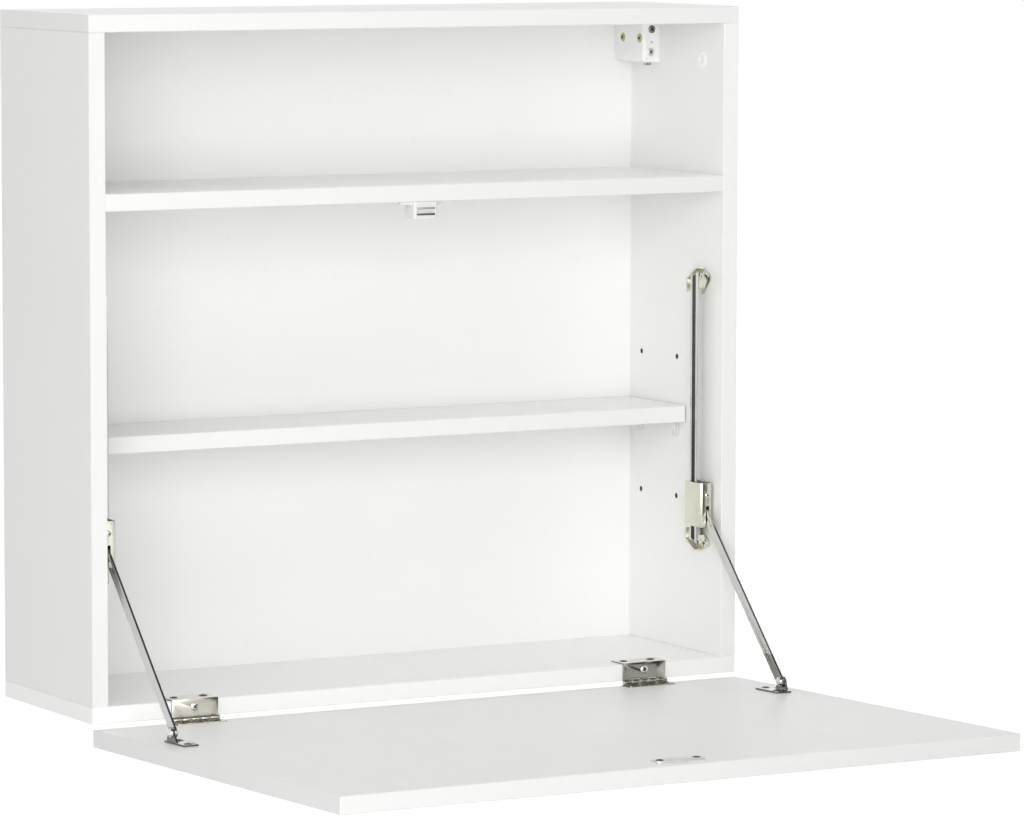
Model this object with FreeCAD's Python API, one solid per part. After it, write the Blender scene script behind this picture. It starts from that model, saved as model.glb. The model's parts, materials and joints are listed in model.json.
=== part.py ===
import FreeCAD, Part
import math
import os

# Fold down wall desk: a shallow wall cabinet whose front flap folds down on two hinges and two sliding stays.
# Millimetres. X runs to the right, Y into the wall and Z up. The origin lies on the wall plane, in the middle
# of the bottom panel's rear edge. A setback is a distance behind the cabinet's front, a height is measured
# from the cabinet's underside, and a reach is measured along the flap from the hinge axis.

# Carcass boards
carcass_width = 640.0
carcass_height = 602.0
carcass_depth = 182.0
board = 15.0
edge_bevel = 0.5

# General clearances
cut_overrun = 4.0
fit_gap = 0.05
running_gap = 0.05

# Back panel in its grooves
back_thickness = 3.0
back_recess = 16.5
groove_depth = 6.0
groove_slack = 0.1
groove_end_gap = 0.5

# Shelves
upper_bay_height = 136.0
shelf_setback = 62.0
shelf_side_gap = 1.0
shelf_back_gap = 0.6

# Shelf pins and their rows of holes
pin_row_height = 217.5
pin_row_pitch = 64.0
pin_inset = 17.5
pin_rear_inset = 20.0
pin_radius = 2.5
pin_depth = 8.0
pin_hole_extra = 1.0
pin_ledge_rise = 5.3
pin_ledge_length = 8.5
pin_ledge_thickness = 1.8
pin_plate_width = 9.0
pin_plate_drop = 9.0
pin_plate_thickness = 1.6
pin_rib_thickness = 1.6
pin_sides = 12

# Cam fittings, dowels and screws that join the boards
cam_radius = 7.5
cam_floor = 2.5
cam_inset = 34.0
cam_setback = 38.0
cam_bolt_radius = 3.0
cam_bolt_anchor = 10.0
cam_cap_radius = 8.8
cam_cap_thickness = 1.0
cam_sides = 12
cam_cap_sides = 20
dowel_radius = 4.0
dowel_length = 30.0
dowel_anchor = 10.0
bolt_sides = 6
rear_joint_inset = 31.0
joint_screw_head_radius = 4.0
joint_screw_head_depth = 3.0
joint_screw_radius = 2.4
joint_screw_length = 46.0

# Small screws of the fittings, with few sides because they repeat
screw_head_radius = 3.6
screw_head_rise = 0.8
screw_radius = 1.6
screw_length = 11.0
head_flat_share = 0.66
head_sides = 8
shank_sides = 4

# Cabinet hangers
hanger_width = 18.0
hanger_depth = 51.0
hanger_height = 38.0
hanger_top_gap = 0.4
hanger_bevel = 2.0
hanger_screw_reaches = (6.5, 36.5)
hanger_screw_drop = 16.0
hanger_screw_head_radius = 4.2
hanger_screw_radius = 2.2
hanger_screw_length = 28.0
hook_thickness = 2.5
hook_side_gap = 0.3
hook_bar_height = 8.0
hook_bar_lift = 7.0
hook_travel = 4.0
hook_screw_gap = 1.5
hook_wall_gap = 6.0
hook_lip_width = 5.0
hook_lip_drop = 8.0
hook_window_margin = 3.0
adjuster_drop = 7.8
adjuster_head_radius = 3.6
adjuster_radius = 2.0
adjuster_length = 8.0
vent_drop = 19.6
vent_radius = 1.1
vent_depth = 3.0
lift_screw_drop = 28.5
lift_screw_recess_radius = 4.4
lift_screw_recess_depth = 1.5
lift_screw_head_radius = 3.4
lift_screw_rise = 0.6
knurl_radius = 3.2
knurl_setback = 4.5
knurl_offset = 1.8
knurl_below = 2.6
knurl_above = 3.5

# Magnetic catch and its strike plate
catch_body_width = 23.0
catch_body_depth = 18.0
catch_body_height = 15.0
catch_bevel = 1.2
catch_reach = 3.0
catch_ear_width = 42.0
catch_ear_depth = 11.0
catch_ear_setback = 2.0
catch_ear_thickness = 2.6
catch_ear_bevel = 3.0
catch_screw_spacing = 33.0
pole_width = 17.5
pole_thickness = 1.4
pole_spacing = 4.0
pole_stand_out = 0.4
pole_depth = 13.0
pole_drop = 8.2
strike_width = 46.0
strike_height = 14.0
strike_thickness = 1.6
strike_round = 3.0
strike_screw_spacing = 35.0

# Hinges
hinge_inset = 96.0
hinge_width = 44.0
hinge_leaf = 1.0
knuckle_radius = 2.5
knuckle_count = 5
knuckle_end_gap = 0.2
knuckle_clearance = 0.4
hinge_pin_radius = 1.5
hinge_axis_drop = 1.2
barrel_clearance = 0.3
frame_leaf_depth = 20.0
frame_screw_spacing = 28.0
frame_screw_setback = 12.0
frame_front_screw_height = 9.0
flap_leaf_width = 48.0
flap_leaf_reach = 14.0
flap_leaf_round = 2.5
flap_leaf_screw_spacing = 16.0
flap_leaf_screw_reach = 9.0

# Flap
flap_thickness = 15.0
flap_top_gap = 0.7
flap_tail = 2.5
flap_tilt = 1.5

# Stay rail and its brackets
rail_stand_off = 7.8
rail_thickness = 4.3
rail_setback = 23.9
rail_width = 12.2
rail_wall = 1.2
rail_slot = 6.1
rail_foot_rise = 8.4
rail_top_drop = 73.4
rail_end_fall = 3.2
liner_slack = 0.1
liner_lip = 1.0
bracket_front_reach = 4.4
bracket_width = 32.0
bracket_plate = 1.7
bracket_wall = 1.6
bracket_flange = 7.6
bracket_corner = 1.4
bracket_pad_rise = 6.0
bracket_screw_inset = 12.0
bracket_screw_spacing = 10.5
bracket_screw_drop = 8.1
gable_shares = ((0, 0.54), (0, 0.73), (0.47, 1), (1, 0.54), (1, 0), (0.4, 0))
upper_bracket_drop = 94.5
upper_bracket_rise = 25.5
lower_bracket_height = 107.7
lower_bracket_rise = 21.7

# Stay slider
slider_side_gap = 1.5
slider_rail_gap = 0.7
slider_wall = 1.2
slider_nose = 4.0
slider_rear_cover = 4.2
slider_rest_gap = 2.5
slider_below = 12.1
slider_above = 28.0
slider_bevel = 1.6
link_rail_gap = 2.0
pivot_pin_radius = 2.0
link_slot_gap = 0.7
link_slot_rise = 7.0
brake_pad_gap = 0.3
brake_pad_base = 10.0
brake_pad_head_room = 0.8
brake_screw_rise = 17.0
brake_screw_head_radius = 2.4
brake_screw_radius = 1.2
brake_screw_length = 6.0

# Stay link, flap bracket and rivet
link_inset = 7.0
link_thickness = 2.0
link_width = 10.0
flap_pivot_reach = 110.5
flap_pivot_rise = 9.0
ear_gap = 0.2
ear_thickness = 2.0
ear_radius = 5.0
ear_base_front = 8.5
ear_base_rear = 12.5
foot_thickness = 1.6
foot_inner = 11.0
foot_front = 12.5
foot_rear = 25.5
foot_round = 2.0
foot_front_screw_inset = 6.5
foot_front_screw_reach = 3.5
foot_rear_screw_inset = 3.1
foot_rear_screw_reach = 20.0
rivet_radius = 2.5
rivet_head_radius = 4.2
rivet_head_height = 2.4
rivet_gap = 0.1
rivet_sides = 12

# Values worked out from the sizes above
front = -carcass_depth
underside = -board / 2
floor_top = underside + board
roof_top = underside + carcass_height
roof_under = roof_top - board
half_width = carcass_width / 2
inner_half = half_width - board
back_front_face = -back_recess - back_thickness
rear_joint_y = back_front_face - rear_joint_inset
cam_depth = board - cam_floor
fixed_shelf_top = roof_under - upper_bay_height
fixed_shelf_under = fixed_shelf_top - board
hinge_y = front - knuckle_radius
hinge_z = underside - hinge_axis_drop
flap_face_z = hinge_z - knuckle_radius - barrel_clearance
rail_top = fixed_shelf_under - rail_top_drop
upper_bracket_low = fixed_shelf_under - upper_bracket_drop

# The closed flap ends just below the fixed shelf's top, with its strike against the catch.
flap_length = fixed_shelf_top - flap_top_gap - hinge_z + flap_tail
strike_reach = fixed_shelf_under - pole_drop - hinge_z

link_x = inner_half - link_inset

# The slider wraps the rail and rests just above the lower bracket, with its pivot ahead of the rail.
bracket_setback = rail_setback - bracket_front_reach
stay_pivot_setback = rail_setback - link_width / 2 - link_rail_gap
stay_pivot_height = lower_bracket_height + lower_bracket_rise + slider_rest_gap + slider_below
slider_setback = stay_pivot_setback - slider_nose
slider_depth = rail_setback + rail_width + slider_rear_cover - slider_setback
slider_width = rail_stand_off + rail_thickness + slider_rail_gap + slider_wall - slider_side_gap
slider_inner_bevel = slider_bevel - slider_wall * math.sqrt(2) * math.tan(math.pi / 8)

aligned_share = 0.95
half_turn = 180.0

X_AXIS = FreeCAD.Vector(1, 0, 0)
Y_AXIS = FreeCAD.Vector(0, 1, 0)
Z_AXIS = FreeCAD.Vector(0, 0, 1)
ORIGIN = FreeCAD.Vector(0, 0, 0)

pieces = {}
cutters = {}
flap_nodes = set()


def vec(x, y, z):
    return FreeCAD.Vector(x, y, z)


def at_setback(setback):
    return front + setback


def at_height(height):
    return underside + height


def at_reach(reach):
    return hinge_y - reach


def add(node, shape, on_flap=False):
    pieces.setdefault(node, []).append(shape)
    if on_flap:
        flap_nodes.add(node)


def bore(nodes, cutter):
    for node in nodes:
        cutters.setdefault(node, []).append(cutter)


def block(x_range, y_range, z_range):
    low = vec(min(x_range), min(y_range), min(z_range))
    high = vec(max(x_range), max(y_range), max(z_range))
    size = high - low
    return Part.makeBox(size.x, size.y, size.z, low)


def rod(start, direction, radius, length):
    return Part.makeCylinder(radius, length, start, direction)


def bevelled(shape, size):
    return shape.makeChamfer(size, shape.Edges)


def edges_along(shape, axis):
    found = []
    for edge in shape.Edges:
        run = edge.Vertexes[-1].Point - edge.Vertexes[0].Point
        if run.Length > 0 and abs(run.normalize().dot(axis)) > aligned_share:
            found.append(edge)
    return found


def plate(points, thickness_vector):
    return Part.Face(Part.makePolygon(points + points[:1])).extrude(thickness_vector)


def mirrored(shape):
    return shape.mirror(ORIGIN, X_AXIS)


def sided(shape, side):
    return shape if side == "right" else mirrored(shape)


def placed(shape, point, direction):
    turn = FreeCAD.Rotation(Z_AXIS, direction)
    shape.Placement = FreeCAD.Placement(point, turn)
    return shape


def ring_of_points(radius, sides, height):
    turns = [2 * math.pi * index / sides for index in range(sides)]
    return [vec(radius * math.cos(turn), radius * math.sin(turn), height) for turn in turns]


def prism(radius, sides, low, high):
    return plate(ring_of_points(radius, sides, low), vec(0, 0, high - low))


def frustum(low_radius, high_radius, sides, low, high):
    lower = ring_of_points(low_radius, sides, low)
    upper = ring_of_points(high_radius, sides, high)
    outlines = [lower, upper]
    for index in range(sides):
        follow = (index + 1) % sides
        outlines.append([lower[index], lower[follow], upper[follow], upper[index]])
    faces = [Part.Face(Part.makePolygon(points + points[:1])) for points in outlines]
    return Part.makeSolid(Part.makeShell(faces))


def prism_along(start, direction, radius, sides, length):
    return placed(prism(radius, sides, 0, length), start, direction)


def screw(point, outward, head_radius, rise, radius, length):
    """A screw whose head lies on the face at the point, and its bore."""
    head = frustum(head_radius, head_radius * head_flat_share, head_sides, 0, rise)
    body = head.fuse(prism(radius, shank_sides, -length, 0))
    hole = prism(radius + fit_gap, shank_sides, -length - fit_gap, cut_overrun)
    return placed(body, point, outward), placed(hole, point, outward)


def small_screw(point, outward):
    return screw(point, outward, screw_head_radius, screw_head_rise, screw_radius, screw_length)


def add_screws(node, carriers, places, maker=small_screw, on_flap=False):
    for point, outward in places:
        body, hole = maker(point, outward)
        add(node, body, on_flap)
        bore(carriers, hole)


# Boards of the carcass
def carcass():
    x_all = (-half_width, half_width)
    y_all = (front, 0)
    add("top_panel", bevelled(block(x_all, y_all, (roof_under, roof_top)), edge_bevel))
    add("bottom_panel", bevelled(block(x_all, y_all, (underside, floor_top)), edge_bevel))
    side_panel = bevelled(block((inner_half, half_width), y_all, (floor_top, roof_under)), edge_bevel)
    for side in ("left", "right"):
        add(side + "_side_panel", sided(side_panel, side))
    shelf_y = (front, back_front_face)
    shelf_z = (fixed_shelf_under, fixed_shelf_top)
    add("fixed_shelf", bevelled(block((-inner_half, inner_half), shelf_y, shelf_z), edge_bevel))

    # The thin back slides into a groove that runs round the four boards.
    tongue = groove_depth - groove_end_gap
    back_x = (-inner_half - tongue, inner_half + tongue)
    back_z = (floor_top - tongue, roof_under + tongue)
    add("back_panel", block(back_x, (back_front_face, -back_recess), back_z))
    groove_x = (-inner_half - groove_depth, inner_half + groove_depth)
    groove_z = (floor_top - groove_depth, roof_under + groove_depth)
    groove_y = (back_front_face - groove_slack, -back_recess + groove_slack)
    groove = block(groove_x, groove_y, groove_z)
    bore(("top_panel", "bottom_panel", "left_side_panel", "right_side_panel"), groove)


# Cams, bolts, caps, dowels and screws between the boards
def cam(node_board, seat, inward, bolt_way, bolt_start, bolt_board):
    """A cam sunk in a board at its seat, with its bolt, which starts in the next board, and its cap."""
    add("cam_locks", prism_along(seat, inward * -1, cam_radius, cam_sides, cam_depth))
    middle = seat - inward * (board / 2)
    bolt_length = abs((bolt_start - middle).dot(bolt_way)) - cam_radius
    add("cam_bolts", prism_along(bolt_start, bolt_way, cam_bolt_radius, bolt_sides, bolt_length))
    bore((node_board,), prism_along(seat + inward * cut_overrun, inward * -1, cam_radius + fit_gap, cam_sides,
                                    cam_depth + cut_overrun + fit_gap))
    bolt_hole = prism_along(bolt_start - bolt_way * fit_gap, bolt_way, cam_bolt_radius + fit_gap, bolt_sides,
                            bolt_length + cam_radius)
    bore((node_board, bolt_board), bolt_hole)
    add("cam_caps", prism_along(seat, inward, cam_cap_radius, cam_cap_sides, cam_cap_thickness))


def dowel(start, way, boards):
    add("wooden_dowels", prism_along(start, way, dowel_radius, bolt_sides, dowel_length))
    hole_length = dowel_length + 2 * fit_gap
    bore(boards, prism_along(start - way * fit_gap, way, dowel_radius + fit_gap, bolt_sides, hole_length))


def joint_screw(point, outward):
    """A long screw with its head sunk level with the face, and its stepped bore."""
    head = prism(joint_screw_head_radius, head_sides, -joint_screw_head_depth, 0)
    body = head.fuse(prism(joint_screw_radius, shank_sides, -joint_screw_length, -joint_screw_head_depth))
    pocket = prism(joint_screw_head_radius + fit_gap, head_sides, -joint_screw_head_depth, cut_overrun)
    hole = prism(joint_screw_radius + fit_gap, shank_sides, -joint_screw_length - fit_gap, 0).fuse(pocket)
    return placed(body, point, outward), placed(hole, point, outward)


def joinery():
    side_middle = inner_half + board / 2
    shelf_middle = fixed_shelf_under + board / 2
    for side, sign in (("left", -1), ("right", 1)):
        panel = side + "_side_panel"
        inward = vec(-sign, 0, 0)
        seat = vec(sign * inner_half, at_setback(cam_setback), roof_under - cam_inset)
        start = vec(sign * side_middle, at_setback(cam_setback), roof_under + cam_bolt_anchor)
        cam(panel, seat, inward, Z_AXIS * -1, start, "top_panel")
        seat = vec(sign * (inner_half - cam_inset), at_setback(cam_setback), fixed_shelf_under)
        start = vec(sign * (inner_half + cam_bolt_anchor), at_setback(cam_setback), shelf_middle)
        cam("fixed_shelf", seat, Z_AXIS * -1, inward, start, panel)
        start = vec(sign * side_middle, rear_joint_y, roof_under + dowel_anchor)
        dowel(start, Z_AXIS * -1, ("top_panel", panel))
        start = vec(sign * (inner_half + dowel_anchor), rear_joint_y, shelf_middle)
        dowel(start, inward, ("fixed_shelf", panel))
        places = [(vec(sign * side_middle, y, underside), Z_AXIS * -1)
                  for y in (at_setback(cam_setback), rear_joint_y)]
        add_screws("carcass_screws", ("bottom_panel", panel), places, joint_screw)


# Loose shelf on four angled pins
def adjustable_shelf():
    under = at_height(pin_row_height + pin_ledge_rise)
    half = inner_half - shelf_side_gap
    shelf_y = (at_setback(shelf_setback), back_front_face - shelf_back_gap)
    add("adjustable_shelf", bevelled(block((-half, half), shelf_y, (under, under + board)), edge_bevel))
    columns = (shelf_y[0] + pin_inset, back_front_face - pin_rear_inset)
    for side, sign in (("left", -1), ("right", 1)):
        inward = vec(-sign, 0, 0)
        for y in columns:
            for row in (-1, 0, 1):
                z = at_height(pin_row_height + row * pin_row_pitch)
                mouth = vec(sign * inner_half, y, z)
                hole = prism_along(mouth + inward * cut_overrun, inward * -1, pin_radius + fit_gap, pin_sides,
                                   pin_depth + pin_hole_extra + cut_overrun)
                bore((side + "_side_panel",), hole)
            add("shelf_pins", sided(shelf_pin(y, under), side))


def shelf_pin(y, top):
    z = at_height(pin_row_height)
    peg_start = vec(inner_half - pin_plate_thickness, y, z)
    peg = prism_along(peg_start, X_AXIS, pin_radius, pin_sides, pin_depth + pin_plate_thickness)
    wide = (y - pin_plate_width / 2, y + pin_plate_width / 2)
    upright = block((inner_half - pin_plate_thickness, inner_half), wide, (z - pin_plate_drop, top))
    ledge = block((inner_half - pin_ledge_length, inner_half), wide, (top - pin_ledge_thickness, top))
    rib_half = pin_rib_thickness / 2
    rib = plate([
        vec(inner_half, y - rib_half, z - pin_plate_drop),
        vec(inner_half, y - rib_half, top),
        vec(inner_half - pin_ledge_length, y - rib_half, top),
        vec(inner_half - pin_ledge_length, y - rib_half, top - pin_ledge_thickness),
    ], vec(0, pin_rib_thickness, 0))
    return peg.fuse([upright, ledge, rib]).removeSplitter()


# Cabinet hangers in the upper rear corners
def hanger_screw(point, outward):
    return screw(point, outward, hanger_screw_head_radius, screw_head_rise, hanger_screw_radius,
                 hanger_screw_length)


def adjuster_screw(point, outward):
    return screw(point, outward, adjuster_head_radius, screw_head_rise, adjuster_radius, adjuster_length)


def lift_screw(point, outward):
    return screw(point, outward, lift_screw_head_radius, lift_screw_rise, adjuster_radius, adjuster_length)


def hanger(side, sign):
    top = roof_under - hanger_top_gap
    low = top - hanger_height
    face_y = back_front_face - hanger_depth
    face_x = inner_half - hanger_width
    middle_x = inner_half - hanger_width / 2
    housing = block((face_x, inner_half), (face_y, back_front_face), (low, top))
    soft = [edge for edge in housing.Edges
            if edge.CenterOfMass.x < middle_x and edge.CenterOfMass.z < top - hanger_top_gap
            and edge.CenterOfMass.y < back_front_face - hanger_top_gap]
    housing = housing.makeChamfer(hanger_bevel, soft)

    # The hook bar runs back through the housing and a window in the back panel to its lip.
    bar_low = low + hook_bar_lift
    bar_high = bar_low + hook_bar_height
    hook_x = (middle_x - hook_thickness / 2, middle_x + hook_thickness / 2)
    bar_y = face_y + lift_screw_recess_depth + adjuster_length + hook_screw_gap
    lip_end = -hook_wall_gap
    lip_start = lip_end - hook_lip_width
    hook = plate([
        vec(hook_x[0], bar_y, bar_low),
        vec(hook_x[0], lip_start, bar_low),
        vec(hook_x[0], lip_start, bar_low - hook_lip_drop),
        vec(hook_x[0], lip_end, bar_low - hook_lip_drop),
        vec(hook_x[0], lip_end, bar_high - hook_lip_width / 2),
        vec(hook_x[0], lip_end - hook_lip_width / 2, bar_high),
        vec(hook_x[0], bar_y, bar_high),
    ], vec(hook_thickness, 0, 0))
    pocket_x = (hook_x[0] - hook_side_gap, hook_x[1] + hook_side_gap)
    pocket_z = (bar_low - hook_travel - hook_side_gap, bar_high + hook_travel + hook_side_gap)
    pocket = block(pocket_x, (bar_y - hook_side_gap, cut_overrun), pocket_z)
    window_x = (pocket_x[0] - hook_window_margin, pocket_x[1] + hook_window_margin)
    window_z = (pocket_z[0] - hook_window_margin, pocket_z[1] + hook_window_margin)
    window = block(window_x, (back_front_face - cut_overrun, -back_recess + cut_overrun), window_z)
    vent_start = vec(middle_x, face_y - cut_overrun, top - vent_drop)
    vent = prism_along(vent_start, Y_AXIS, vent_radius, bolt_sides, vent_depth + cut_overrun)
    lift_z = top - lift_screw_drop
    dish_start = vec(middle_x, face_y - cut_overrun, lift_z)
    dish = prism_along(dish_start, Y_AXIS, lift_screw_recess_radius, cam_sides,
                       lift_screw_recess_depth + cut_overrun)
    housing = housing.cut([pocket, vent, dish])

    node = "hanger_housing_" + side
    panel = side + "_side_panel"
    add(node, sided(housing, side))
    add("hanger_hook_" + side, sided(hook, side))
    bore(("back_panel",), sided(window, side))
    outward = vec(-sign, 0, 0)
    forward = Y_AXIS * -1
    places = [(vec(sign * face_x, face_y + reach, top - hanger_screw_drop), outward)
              for reach in hanger_screw_reaches]
    add_screws("hanger_screws", (node, panel), places, hanger_screw)
    add_screws("hanger_adjusters", (node,), [(vec(sign * middle_x, face_y, top - adjuster_drop), forward)],
               adjuster_screw)
    dish_floor = vec(sign * middle_x, face_y + lift_screw_recess_depth, lift_z)
    add_screws("hanger_lift_screws", (node,), [(dish_floor, forward)], lift_screw)

    # A round adjuster shaft shows below the housing.
    shaft_start = vec(sign * (middle_x - knurl_offset), face_y + knurl_setback, low - knurl_below)
    shaft_length = knurl_below + knurl_above
    add("hanger_adjusters", prism_along(shaft_start, Z_AXIS, knurl_radius, cam_sides, shaft_length))
    bore((node,), prism_along(shaft_start, Z_AXIS, knurl_radius + fit_gap, cam_sides, shaft_length + fit_gap))


# Magnetic catch under the fixed shelf
def catch():
    top = fixed_shelf_under
    low = top - catch_body_height
    nose = front - catch_reach
    body = block((-catch_body_width / 2, catch_body_width / 2), (nose, nose + catch_body_depth), (low, top))
    body = body.makeChamfer(catch_bevel, edges_along(body, Z_AXIS))
    ear_y = at_setback(catch_ear_setback)
    ears = block((-catch_ear_width / 2, catch_ear_width / 2), (ear_y, ear_y + catch_ear_depth),
                 (top - catch_ear_thickness, top))
    ears = ears.makeChamfer(catch_ear_bevel, edges_along(ears, Z_AXIS))
    housing = body.fuse(ears).removeSplitter()

    # Two steel pole plates hold the magnet between them and stand a little out of the nose.
    middle = top - pole_drop
    pole_y = (nose - pole_stand_out, nose - pole_stand_out + pole_depth)
    pole_x = (-pole_width / 2, pole_width / 2)
    half_gap = pole_spacing / 2
    for sign in (-1, 1):
        near = middle + sign * half_gap
        add("catch_pole_plates", block(pole_x, pole_y, (near, near + sign * pole_thickness)))
    magnet_y = (nose + pole_thickness, pole_y[1])
    add("catch_magnet", block(pole_x, magnet_y, (middle - half_gap, middle + half_gap)))
    reach = half_gap + pole_thickness
    cavity = block(pole_x, (nose - cut_overrun, pole_y[1]), (middle - reach, middle + reach))
    add("catch_housing", housing.cut(cavity))
    screw_y = ear_y + catch_ear_depth / 2
    places = [(vec(sign * catch_screw_spacing / 2, screw_y, top - catch_ear_thickness), Z_AXIS * -1)
              for sign in (-1, 1)]
    add_screws("catch_screws", ("catch_housing", "fixed_shelf"), places)


def strike_plate():
    middle_y = at_reach(strike_reach)
    sheet = block((-strike_width / 2, strike_width / 2),
                  (middle_y - strike_height / 2, middle_y + strike_height / 2),
                  (flap_face_z, flap_face_z + strike_thickness))
    sheet = sheet.makeFillet(strike_round, edges_along(sheet, Z_AXIS))
    add("strike_plate", sheet, on_flap=True)
    places = [(vec(sign * strike_screw_spacing / 2, middle_y, flap_face_z + strike_thickness), Z_AXIS)
              for sign in (-1, 1)]
    add_screws("strike_screws", ("strike_plate", "flap_panel"), places, on_flap=True)


# Hinges: an angled leaf over the bottom panel's front edge and a flat leaf on the flap
def knuckle_span(middle_x, index):
    pitch = hinge_width / knuckle_count
    start = middle_x - hinge_width / 2 + index * pitch
    return start + knuckle_end_gap / 2, start + pitch - knuckle_end_gap / 2


def hinge(side, sign):
    middle_x = sign * (half_width - hinge_inset)
    leaf_x = (middle_x - hinge_width / 2, middle_x + hinge_width / 2)
    axis_low = vec(leaf_x[0], hinge_y, hinge_z)
    front_y = (front - hinge_leaf, front)
    top_z = (floor_top, floor_top + hinge_leaf)
    frame_leaf = block(leaf_x, front_y, (hinge_z, top_z[1]))
    frame_leaf = frame_leaf.fuse(block(leaf_x, (front - hinge_leaf, at_setback(frame_leaf_depth)), top_z))
    flap_x = (middle_x - flap_leaf_width / 2, middle_x + flap_leaf_width / 2)
    flap_leaf = block(flap_x, (hinge_y, at_reach(flap_leaf_reach)), (flap_face_z, flap_face_z + hinge_leaf))
    outer = [edge for edge in edges_along(flap_leaf, Z_AXIS) if edge.CenterOfMass.y < hinge_y - hinge_leaf]
    flap_leaf = flap_leaf.makeFillet(flap_leaf_round, outer)

    # Knuckles belong to the two leaves in turn, each leaf cut clear of the other's.
    frame_knuckles = []
    flap_knuckles = []
    frame_relief = []
    flap_relief = []
    reach = knuckle_radius + knuckle_clearance
    for index in range(knuckle_count):
        start, end = knuckle_span(middle_x, index)
        ring = rod(vec(start, hinge_y, hinge_z), X_AXIS, knuckle_radius, end - start)
        room_x = (start - knuckle_end_gap, end + knuckle_end_gap)
        room = block(room_x, (hinge_y - reach, hinge_y + reach), (hinge_z - reach, hinge_z + reach))
        if index % 2 == 0:
            frame_knuckles.append(ring)
            flap_relief.append(room)
        else:
            flap_knuckles.append(ring)
            frame_relief.append(room)
    pin_hole = rod(axis_low - X_AXIS * cut_overrun, X_AXIS, hinge_pin_radius + running_gap,
                   hinge_width + 2 * cut_overrun)
    frame_leaf = frame_leaf.cut(frame_relief).fuse(frame_knuckles).cut(pin_hole).removeSplitter()
    flap_leaf = flap_leaf.cut(flap_relief).fuse(flap_knuckles).cut(pin_hole).removeSplitter()
    frame_node = "hinge_frame_leaf_" + side
    flap_node = "hinge_flap_leaf_" + side
    add(frame_node, frame_leaf)
    add(flap_node, flap_leaf, on_flap=True)
    add("hinge_pin_" + side, rod(axis_low, X_AXIS, hinge_pin_radius, hinge_width))

    screw_y = at_setback(frame_screw_setback)
    places = [(vec(middle_x + step * frame_screw_spacing / 2, screw_y, top_z[1]), Z_AXIS) for step in (-1, 1)]
    places.append((vec(middle_x, front - hinge_leaf, at_height(frame_front_screw_height)), Y_AXIS * -1))
    add_screws("hinge_frame_screws", (frame_node, "bottom_panel"), places)
    places = [(vec(middle_x + step * flap_leaf_screw_spacing, at_reach(flap_leaf_screw_reach),
                   flap_face_z + hinge_leaf), Z_AXIS) for step in (-1, 0, 1)]
    add_screws("hinge_flap_screws", (flap_node, "flap_panel"), places, on_flap=True)


def flap():
    back_y = hinge_y + flap_tail
    panel = block((-half_width, half_width), (back_y - flap_length, back_y),
                  (flap_face_z - flap_thickness, flap_face_z))
    add("flap_panel", bevelled(panel, edge_bevel), on_flap=True)


# Stays: a slotted rail on each side panel, between two brackets
def rail_span():
    return at_setback(rail_setback), at_setback(rail_setback + rail_width)


def rail():
    back_x = inner_half - rail_stand_off
    face_x = back_x - rail_thickness
    rail_y = rail_span()
    low = at_height(lower_bracket_height + rail_foot_rise)
    middle_y = (rail_y[0] + rail_y[1]) / 2
    low_full = at_height(lower_bracket_height + lower_bracket_rise - bracket_pad_rise)
    full_z = (low_full, upper_bracket_low + bracket_pad_rise)
    hollow_y = (rail_y[0] + rail_wall, rail_y[1] - rail_wall)
    hollow_x = (face_x + rail_wall, back_x - rail_wall)
    hollow = block(hollow_x, hollow_y, (full_z[0] - cut_overrun, full_z[1] + cut_overrun))
    channel = block((face_x, back_x), rail_y, full_z).cut(hollow)

    # Only the slotted face runs on over the brackets, as two narrow tongues with sloped ends.
    tongue_z = (low + rail_end_fall, rail_top - rail_end_fall)
    tongues = plate([
        vec(face_x, rail_y[0], low),
        vec(face_x, rail_y[1], tongue_z[0]),
        vec(face_x, rail_y[1], tongue_z[1]),
        vec(face_x, rail_y[0], rail_top),
    ], vec(rail_wall, 0, 0))
    slot = block((face_x - cut_overrun, face_x + rail_wall + cut_overrun / 2),
                 (middle_y - rail_slot / 2, middle_y + rail_slot / 2),
                 (low - cut_overrun, rail_top + cut_overrun))
    channel = channel.fuse(tongues).cut(slot).removeSplitter()

    # The liner fills the channel, and its lip backs the slot of the tongues.
    liner_y = (hollow_y[0] + liner_slack, hollow_y[1] - liner_slack)
    liner_x = (hollow_x[0] + liner_slack, hollow_x[1] - liner_slack)
    lip = block((liner_x[0], liner_x[0] + liner_lip), liner_y, tongue_z)
    liner = block(liner_x, liner_y, full_z).fuse(lip).removeSplitter()
    return channel, liner


def bracket_prism(outline, depth):
    """An outline on the side panel's inner face, pulled inward, with its corners cut off."""
    solid = Part.Face(outline).extrude(vec(-depth, 0, 0))
    return solid.makeChamfer(bracket_corner, edges_along(solid, X_AXIS))


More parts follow.
